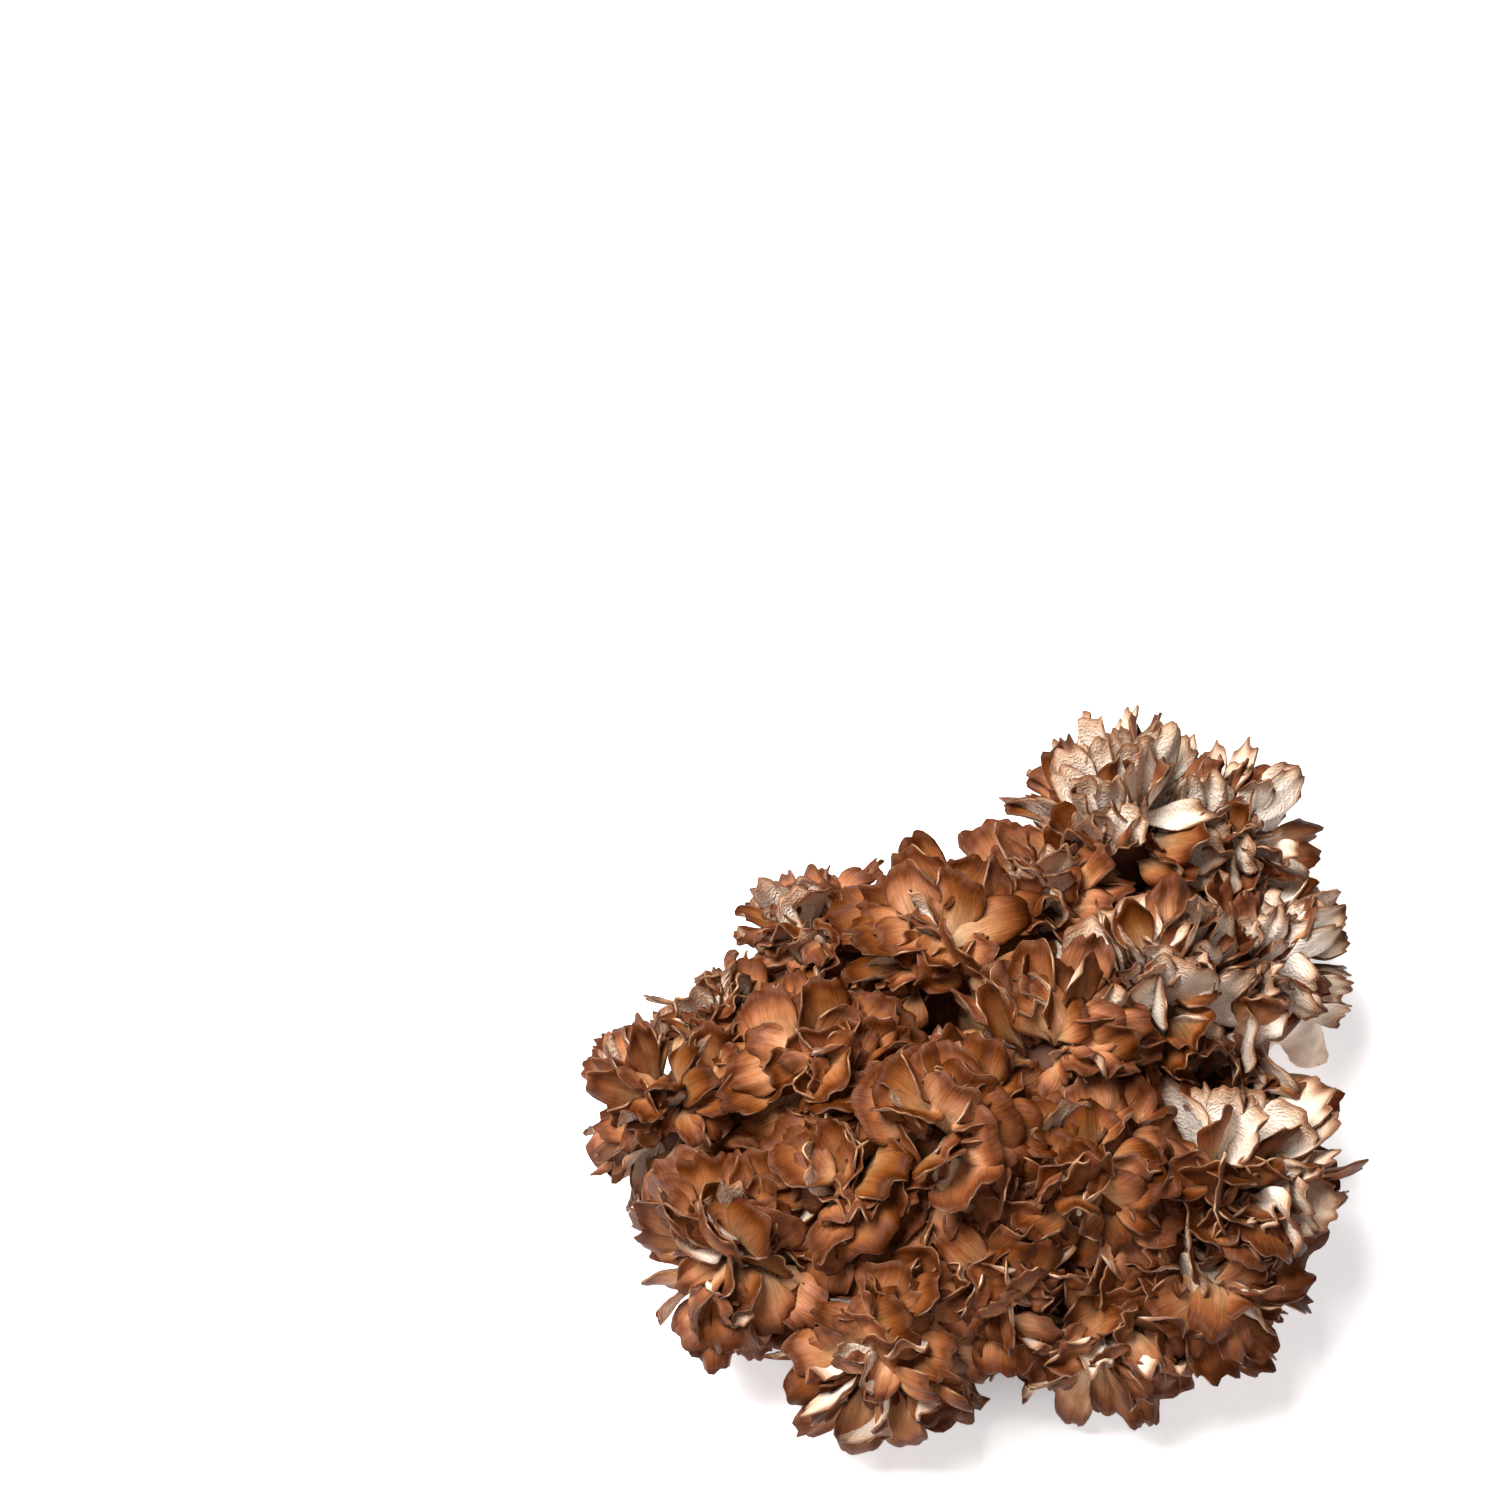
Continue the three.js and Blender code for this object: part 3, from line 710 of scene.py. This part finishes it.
# %% Upper skin
CAP_BROWNS = [(0.0, "#AA8E74"), (0.25, "#C8A684"), (0.5, "#B28058"), (0.74, "#8C5431"),
              (0.89, "#572A10"), (0.97, "#552B12")]
CAP_ROUGHNESS = 0.52
CAP_SUBSURFACE = 0.05
CAP_SPECULAR = 0.14
CAP_PATTERNS = {  # how many fit in a millimetre: across a frond, along it, and apart for each
    "streak": (1 / 2, 2 / 25, 1.0),  # 2 mm wide and 12.5 mm long
    "blotch": (7 / 50, 7 / 50, 1.0),  # 7 mm wide either way
    "fibre": (9 / 5, 1 / 10, 1.0),  # 0.6 mm wide: real ones are finer and wouldn't show
}
CAP_DETAIL, CAP_NOISE_ROUGHNESS = 4.0, 0.6
CAP_STEPS = [
    ("streak_even", "SUBTRACT", "streak", NOISE_MIDDLE),
    ("shifted", "MULTIPLY_ADD", "streak_even", 0.3, "along"),
    ("toned", "MULTIPLY_ADD", "tone", 0.66, 0.66),
    ("blotched", "MULTIPLY_ADD", "blotch", 1.3, 0.35),
    ("streaked", "MULTIPLY_ADD", "streak", 1.3, 0.35),
    ("fibred", "MULTIPLY_ADD", "fibre", 1.0, 0.5),
    ("lined", "MULTIPLY", "streaked", "fibred"),
    ("patchy", "MULTIPLY", "toned", "blotched"),
    ("lightness", "MULTIPLY", "patchy", "lined"),
    ("saturation", "MULTIPLY_ADD", "lightness", -0.22, 1.22),
]
FIBRE_BUMP = {"Strength": 0.7, "Distance": 0.5 * MM}


def cap_skin():
    """Dry fungus skin, grown in fibres: satin brown with a dark band before the margin."""
    material, tree, shader = new_material("maitake_cap_skin", CAP_ROUGHNESS, CAP_SUBSURFACE)
    shader.inputs["Specular IOR Level"].default_value = CAP_SPECULAR
    made = {}
    for name in ("along", "tone"):
        made[name] = add_node(tree, "ShaderNodeAttribute", output="Fac", attribute_name=name)
    place = add_node(tree, "ShaderNodeAttribute", output="Vector", attribute_name="skin_place")
    for name, stretch in CAP_PATTERNS.items():
        stretched = add_node(tree, "ShaderNodeVectorMath", {0: place, 1: stretch},
                             operation="MULTIPLY")
        made[name] = add_node(tree, "ShaderNodeTexNoise", {
            "Vector": stretched, "Scale": 1.0, "Detail": CAP_DETAIL,
            "Roughness": CAP_NOISE_ROUGHNESS})
    add_steps(tree, "ShaderNodeMath", made, CAP_STEPS)
    ramp = add_node(tree, "ShaderNodeValToRGB", {"Fac": made["shifted"]}, output=None)
    fill_ramp(ramp, CAP_BROWNS)
    coloured = add_node(tree, "ShaderNodeHueSaturation", {
        "Color": ramp.outputs[0], "Saturation": made["saturation"], "Value": made["lightness"]})
    tree.links.new(coloured, shader.inputs["Base Color"])
    bump = add_node(tree, "ShaderNodeBump", {"Height": made["fibre"], **FIBRE_BUMP})
    tree.links.new(bump, shader.inputs["Normal"])
    return material


cap = cap_skin()
print("upper skin:", cap.name, "with", len(cap.node_tree.nodes), "nodes")

# %% [markdown]
# ### The pore surface
# The lower side is a cream sponge of very fine tubes, whose mouths are its pores. It scatters
# the light, so it looks matt and chalky, and it browns only at the margin. Pores as close as
# the real ones, two to four in a millimetre, would be lost at this distance, so they are drawn
# about one in a millimetre.

# %% Pore surface
PORE_CREAMS = [(0.0, "#D6C4B6"), (0.3, "#F0E6DE"), (0.68, "#EADCD0"), (0.88, "#CDAF97"),
               (0.98, "#7C5236")]
PORE_ROUGHNESS = 0.75
PORE_SUBSURFACE = 0.12
CLOUDS_IN_MM = 3 / 25  # clouds of colour, 8 mm wide
PORES_IN_MM = 11 / 10
PORE_STEPS = [
    ("cloud_even", "SUBTRACT", "cloud", NOISE_MIDDLE),
    ("shifted", "MULTIPLY_ADD", "cloud_even", 0.2, "along"),
    ("toned", "MULTIPLY_ADD", "tone", 0.2, 0.9),
]
PORE_BUMP = {"Strength": 0.8, "Distance": 0.5 * MM}


def pore_surface():
    """The pored underside, grown as fine tubes: chalky cream that browns at the margin."""
    material, tree, shader = new_material(
        "maitake_pore_surface", PORE_ROUGHNESS, PORE_SUBSURFACE)
    made = {}
    for name in ("along", "tone"):
        made[name] = add_node(tree, "ShaderNodeAttribute", output="Fac", attribute_name=name)
    place = add_node(tree, "ShaderNodeAttribute", output="Vector", attribute_name="skin_place")
    made["cloud"] = add_node(tree, "ShaderNodeTexNoise", {
        "Vector": place, "Scale": CLOUDS_IN_MM, "Detail": 5.0})
    add_steps(tree, "ShaderNodeMath", made, PORE_STEPS)
    ramp = add_node(tree, "ShaderNodeValToRGB", {"Fac": made["shifted"]}, output=None)
    fill_ramp(ramp, PORE_CREAMS)
    coloured = add_node(tree, "ShaderNodeHueSaturation", {
        "Color": ramp.outputs[0], "Value": made["toned"]})
    tree.links.new(coloured, shader.inputs["Base Color"])
    mouths = add_node(tree, "ShaderNodeTexVoronoi", {"Vector": place, "Scale": PORES_IN_MM})
    bump = add_node(tree, "ShaderNodeBump", {"Height": mouths, **PORE_BUMP})
    tree.links.new(bump, shader.inputs["Normal"])
    return material


pores = pore_surface()
print("lower skin:", pores.name, "with", len(pores.node_tree.nodes), "nodes")

# %% [markdown]
# ### Torn margin and flesh
# Three more surfaces have no sides and no growth to follow: the thin torn margin of a fan, the
# pale flesh of the foot and its stub, and the necks deep inside, whose pale flesh is painted dark
# brown as shade. Each is patches of its own colours over a fine grain, so one function makes all
# three from a list.

# %% Torn margin and flesh
PATCHY_SKINS = {  # roughness, subsurface, width of a patch, colours
    # the torn edge of skin and flesh together: a thin dry line, dark here and pale there
    "maitake_torn_margin": (0.6, 0.0, 6.25, [
        (0.44, "#54301A"), (0.58, "#7E5434"), (0.74, "#C0A080")]),
    # bare firm flesh, as on the stub and the foot: creamy and matt, with tan patches
    "maitake_flesh": (0.6, 0.12, 20.83, [
        (0.3, "#CBA486"), (0.5, "#EED7C2"), (0.68, "#FAEEE2")]),
    # the necks between the fronds, which get no light: pale flesh painted dark brown as shade,
    # so that depths stay deep
    "maitake_stalk_painted_shade": (0.7, 0.0, 16.67, [
        (0.3, "#3A1C0A"), (0.5, "#54290F"), (0.7, "#7A4824")]),
}
PATCH_DETAIL = 5.0
SKIN_GRAIN_WIDTH = 2.5
SKIN_GRAIN_DETAIL = 3.0
GRAIN_BUMP = {"Strength": 0.3, "Distance": 0.4 * MM}


def patchy_skin(name):
    """A skin whose only pattern is patches, with a fine grain in its surface."""
    roughness, subsurface, patch_width, stops = PATCHY_SKINS[name]
    material, tree, shader = new_material(name, roughness, subsurface)
    place = add_node(tree, "ShaderNodeTexCoord", output="Object")
    patches = add_node(tree, "ShaderNodeTexNoise", {
        "Vector": place, "Scale": 1 / (patch_width * MM), "Detail": PATCH_DETAIL})
    ramp = add_node(tree, "ShaderNodeValToRGB", {"Fac": patches}, output=None)
    fill_ramp(ramp, stops)
    tree.links.new(ramp.outputs[0], shader.inputs["Base Color"])
    grain = add_node(tree, "ShaderNodeTexNoise", {
        "Vector": place, "Scale": 1 / (SKIN_GRAIN_WIDTH * MM), "Detail": SKIN_GRAIN_DETAIL})
    bump = add_node(tree, "ShaderNodeBump", {"Height": grain, **GRAIN_BUMP})
    tree.links.new(bump, shader.inputs["Normal"])
    return material


margin, flesh, stalk_painted_shade = (patchy_skin(name) for name in PATCHY_SKINS)
print("other skins:", [m.name for m in (margin, flesh, stalk_painted_shade)])

# %% [markdown]
# ## The flesh inside
# Deep between the fronds one sees the solid flesh that they grow from: a neck that leaves the
# foot and swells into a core. A turned profile is enough for what shows so little, with lumps
# round it so that it doesn't look turned. It is joined to its branch's fronds. Its flesh is pale,
# but it is painted dark brown as shade, because so little light gets in this deep.

# %% Necks and cores
FOOT_MIDDLE = Vector((4, 0, 0))
NECK_START_SHARE = 0.35  # where the neck leaves the foot, on the way out to its branch
NECK_START_HEIGHT = 18
NECK_RADIUS = 12.5
HEART_SHARE = 0.38  # the core's radius as a share of the branch's reach
CLUB_SIDES = 20


def club(branch):
    """A branch's neck and core as a mesh, in metres."""
    core = branch["reach"] * HEART_SHARE
    at = Vector(branch["at"])
    start = FOOT_MIDDLE.lerp(at, NECK_START_SHARE)
    start.z = NECK_START_HEIGHT
    way = at - start
    far = way.length
    profile = [  # radius and height, from the foot to the top of the core
        (0.5, 0), (NECK_RADIUS, 0), (NECK_RADIUS, 0.4 * far), (0.8 * core, far - 0.6 * core),
        (core, far - 0.1 * core), (0.8 * core, far + 0.4 * core), (0.4 * core, far + 0.6 * core),
        (0.02, far + 0.65 * core)]
    turned = way.to_track_quat("Z", "Y")
    points, faces = [], []
    for radius, height in profile:
        for k in range(CLUB_SIDES):
            angle = 2 * math.pi * k / CLUB_SIDES
            lump = 1 + 0.12 * math.sin(3 * angle + height * 0.3)
            lump += 0.08 * math.sin(5 * angle - height * 0.5)
            out = radius * lump
            ring = Vector((math.cos(angle) * out, math.sin(angle) * out, height))
            points.append((start + turned @ ring) * MM)
    for row in range(len(profile) - 1):
        for k in range(CLUB_SIDES):
            a, b = row * CLUB_SIDES + k, row * CLUB_SIDES + (k + 1) % CLUB_SIDES
            faces.append((a, b, b + CLUB_SIDES, a + CLUB_SIDES))
    faces.append(tuple(reversed(range(CLUB_SIDES))))
    faces.append(tuple(range(len(points) - CLUB_SIDES, len(points))))
    mesh = bpy.data.meshes.new("club")
    mesh.from_pydata(points, [], faces)
    # painted shade: the neck and core are dark brown, though their flesh is pale
    mesh.materials.append(stalk_painted_shade)
    for face in mesh.polygons:
        face.use_smooth = True
    obj = bpy.data.objects.new("club", mesh)
    bpy.context.scene.collection.objects.link(obj)
    return obj


print("a core is", round(BRANCHES[0]["reach"] * HEART_SHARE * 2, 1), "mm across")

# %% [markdown]
# ## From values to a mesh
# The tree reads the fronds as loose points that carry their values, and the planes in the same
# way. Its result is taken as a plain mesh, so that nothing is left to evaluate later. The sheet
# then gets its thickness: about 2 mm at the root and half a millimetre at the margin, with the
# upper skin on one side, the pores on the other and the torn margin round it. A Solidify
# modifier does that in one go, and thins each frond by a vertex group.

# %% Meshes of fronds
ROWS, COLUMNS = 10, 13
FRAYING = 0.045


def points_object(name, places, values):
    """A mesh of loose points that carry values, for a tree to read."""
    mesh = bpy.data.meshes.new(name)
    mesh.from_pydata(places, [], [])
    for key, column in values.items():
        column = np.array(column, np.float32)
        kind = "FLOAT_VECTOR" if column.ndim == 2 else "FLOAT"
        data = mesh.attributes.new(key, kind, "POINT").data
        data.foreach_set("vector" if column.ndim == 2 else "value", column.ravel())
    obj = bpy.data.objects.new(name, mesh)
    bpy.context.scene.collection.objects.link(obj)
    return obj


def plain_mesh(obj):
    """What an object looks like with its modifiers, as a plain mesh."""
    graph = bpy.context.evaluated_depsgraph_get()
    return bpy.data.meshes.new_from_object(
        obj.evaluated_get(graph), preserve_all_data_layers=True, depsgraph=graph)


def grow(name, fronds, planes):
    """The fronds as one open sheet each, in one plain mesh."""
    columns = {k: [tuple(f[k]) if k in VECTORS else f[k] for f in fronds] for k in fronds[0]}
    roots = points_object(name + "_roots", [tuple(f["root"]) for f in fronds], columns)
    away = [tuple(normal) for normal, _ in planes]
    reach = [reach for _, reach in planes]
    walls = points_object(name + "_planes", away, {"away": away, "reach": reach})
    modifier = roots.modifiers.new("fronds", "NODES")
    modifier.node_group = frond_tree
    # a modifier knows its inputs by the identifiers of their sockets, and not by their names
    sockets = {item.name: item.identifier for item in frond_tree.interface.items_tree
               if item.in_out == "INPUT"}
    values = {"Planes": walls, "Plane Count": len(planes), "Rows": ROWS, "Columns": COLUMNS,
              "Fraying": FRAYING, "Skin": cap}
    for key, value in values.items():
        modifier[sockets[key]] = value
    bpy.context.view_layer.update()
    mesh = plain_mesh(roots)
    bpy.data.objects.remove(roots)
    bpy.data.objects.remove(walls)
    return mesh


print("points in a frond:", ROWS * COLUMNS)

# %% Thickness
ROOT_THICKNESS = 2.0
MARGIN_THICKNESS = 0.55


def thicken(obj):
    """Gives the sheets their thickness, the pore surface below and the torn margin round it."""
    for skin in (pores, margin):
        obj.data.materials.append(skin)
    along = np.zeros(len(obj.data.vertices), np.float32)
    obj.data.attributes["along"].data.foreach_get("value", along)
    group = obj.vertex_groups.new(name="thickness")
    shares = 1 + (MARGIN_THICKNESS / ROOT_THICKNESS - 1) * along
    for i, share in enumerate(shares):
        group.add([i], float(share), "REPLACE")
    solid = obj.modifiers.new("flesh", "SOLIDIFY")
    solid.thickness = ROOT_THICKNESS * MM
    solid.offset = 0.0
    solid.vertex_group = group.name
    solid.use_rim = True
    solid.material_offset = 1  # the pores
    solid.material_offset_rim = 2  # the torn margin
    mesh = plain_mesh(obj)
    obj.modifiers.clear()
    obj.vertex_groups.clear()
    obj.data = mesh


print("a frond thins from", ROOT_THICKNESS, "to", MARGIN_THICKNESS)

# %% [markdown]
# ## Growing the branches
# A branch is filled from four sources: the fronds of the solids, their companions, a heart of
# small fronds that closes the middle of the rosette, and a skirt of fronds that hang about its
# neck and close the gaps to the next branch. The main fronds are turned about their stalks, or
# each rosette would look like a flower. The fine fronds may pass the planes between branches a
# little, so that no straight seam shows, and they stay within the box of the solids. Nothing
# grows over the bare stub, which the photograph shows.

# %% What fills a branch
FAN_SHARE = 0.8  # a wide frond of the solids stands for narrower, flatter fans side by side
HEART = {"spread": 58, "width": 0.7, "count": 0.6, "size": 0.88}  # shares of the branch's own
SKIRT = {"spread": 150, "width": 0.8}
SKIRT_EACH = 8  # the outer half of twice as many that are drawn
MAIN_TURN, HEART_TURN = 55, 120  # degrees either way about the stalk
OVERLAP = 10.0  # how far the fine fronds may pass the planes between branches
BOX_SIDES = [  # a side of the solids' box, and how far the fine fronds may pass it
    ((-1, 0, 0), 4.0), ((1, 0, 0), 4.0), ((0, -1, 0), 4.0), ((0, 1, 0), 4.0), ((0, 0, 1), 2.0)]
STUB_MIDDLE = Vector((103, 27, 12))
STUB_SKYWARD = Vector((-0.17, -0.49, 0.85)).normalized()  # towards who looks at the stub
STUB_CLEARING = 11.0


def planes_of_box():
    """The planes, as normal and reach, a little outside the sides and the top of the box."""
    low, high = (Vector(corner) / MM + MIDDLE for corner in cad_box)
    planes = []
    for way, allowance in BOX_SIDES:
        corner = high if sum(way) > 0 else low
        planes.append((Vector(way), Vector(way).dot(corner) + allowance))
    return planes


def turn_about(fronds, seed, most):
    """Turns each frond about its own way of growth by up to most degrees."""
    draw = make_draw(seed)
    for frond in fronds:
        turned = Quaternion(frond["growth"].copy(), math.radians(draw(-most, most)))
        frond["face"].rotate(turned)
        frond["width_way"].rotate(turned)


def hides_stub(frond):
    """Whether a frond's tip or middle comes over the bare stub.

    The tip is where the arch takes it, which is a turn about an arm, as in the frond's rule.
    """
    arm = frond["length"] / frond["bend"]
    tip = frond["root"] + frond["growth"] * arm * math.sin(frond["bend"])
    tip = tip - frond["face"] * arm * (1 - math.cos(frond["bend"]))
    for spot in (tip, frond["root"].lerp(tip, 0.5)):
        apart = spot - STUB_MIDDLE
        over = apart.dot(STUB_SKYWARD)
        if over > 0 and (apart - STUB_SKYWARD * over).length < STUB_CLEARING:
            return True
    return False


print("sides of the box that fronds stay within:", len(planes_of_box()))

# %% Grow every branch
COMPANION_SEED = 15485863
HEART_SEED = 104729
SKIRT_SEED = 1299709
MAIN_TURN_SEED = 32452843
HEART_TURN_SEED = 49979687

total = 0
largest = 0
for order, branch in enumerate(BRANCHES, 1):
    name = "branch_" + branch["name"]
    planes = planes_around(branch)
    main = fronds_of(branch, MAIN_SEED * order, branch["count"], 1.0, planes)
    for frond in main:
        for key in ("width", "ruffle", "cup", "rounding"):
            frond[key] *= FAN_SHARE
    loose = [(normal, reach + OVERLAP) for normal, reach in planes[:-1]]
    loose += planes[-1:] + planes_of_box()
    companions = companions_of(main, COMPANION_SEED * order, loose)

    heart = dict(branch, spread=HEART["spread"], width=branch["width"] * HEART["width"])
    heart_count = round(branch["count"] * HEART["count"])
    hearts = fronds_of(heart, HEART_SEED * order, heart_count, HEART["size"], planes)
    turn_about(main, MAIN_TURN_SEED * order, MAIN_TURN)
    turn_about(hearts, HEART_TURN_SEED * order, HEART_TURN)
    skirt = dict(branch, spread=SKIRT["spread"], width=branch["width"] * SKIRT["width"])
    skirts = fronds_of(skirt, SKIRT_SEED * order, 2 * SKIRT_EACH, 1.0, planes)[SKIRT_EACH:]

    everything = main + companions + hearts + skirts
    mesh = grow(name, [frond for frond in everything if not hides_stub(frond)], loose)
    obj = bpy.data.objects.new("fronds_" + branch["name"], mesh)
    bpy.context.scene.collection.objects.link(obj)
    obj.data.transform(Matrix.Translation(-MIDDLE * MM))
    thicken(obj)
    core = club(branch)
    core.data.transform(Matrix.Translation(-MIDDLE * MM))
    with bpy.context.temp_override(active_object=obj, selected_editable_objects=[obj, core]):
        bpy.ops.object.join()
    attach(obj, "root")
    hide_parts(name)
    triangles = sum(len(face.vertices) - 2 for face in obj.data.polygons)
    largest = max(largest, triangles)
    total += triangles
print("triangles in the fronds:", total, "most in a piece:", largest)

# %% [markdown]
# ## The foot
# The foot is a lump of firm pale flesh with a bare stub at the right, and flat where it was
# cut. The solid one is faceted, and flesh isn't: a copy is made again from small even squares
# and smoothed, and two noises, one of long shallow folds and one of a fine grain, push its
# points in and out. They fade out towards the cut end, which the cluster stands on.

# %% The foot and the stub
SQUARE_SIDE = 1.8
SMOOTHING, SMOOTHING_ROUNDS = 0.5, 14
FOLD_WIDTH, FOLD_LENGTH, FOLD_DEPTH = 8.0, 40.0, 3.4
GRAIN_WIDTH, GRAIN_DEPTH = 2.6, 0.7
CUT_END_CALM = 6.0  # the height over which folds and grain grow to their full depth

foot = bpy.data.objects.new("soft_foot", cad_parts["foot"].data.copy())
bpy.context.scene.collection.objects.link(foot)
squares = foot.modifiers.new("even", "REMESH")
squares.mode = "VOXEL"
squares.voxel_size = SQUARE_SIDE * MM
soften = foot.modifiers.new("soften", "SMOOTH")
soften.factor = SMOOTHING
soften.iterations = SMOOTHING_ROUNDS
soft = plain_mesh(foot)
foot.modifiers.clear()
foot.data = soft

normals = [vertex.normal.copy() for vertex in soft.vertices]
for vertex, normal in zip(soft.vertices, normals):
    place = vertex.co / MM
    fold_place = Vector((place.x / FOLD_WIDTH, place.y / FOLD_WIDTH, place.z / FOLD_LENGTH))
    folds = noise.noise(fold_place)
    grain = noise.noise(place / GRAIN_WIDTH)
    rise = (FOLD_DEPTH * folds + GRAIN_DEPTH * grain) * min(1.0, place.z / CUT_END_CALM)
    vertex.co = (place + normal * rise) * MM
soft.materials.clear()
soft.materials.append(flesh)
for face in soft.polygons:
    face.use_smooth = True
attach(foot, "root")
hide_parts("foot")
print("triangles in the foot:", sum(len(face.vertices) - 2 for face in soft.polygons))
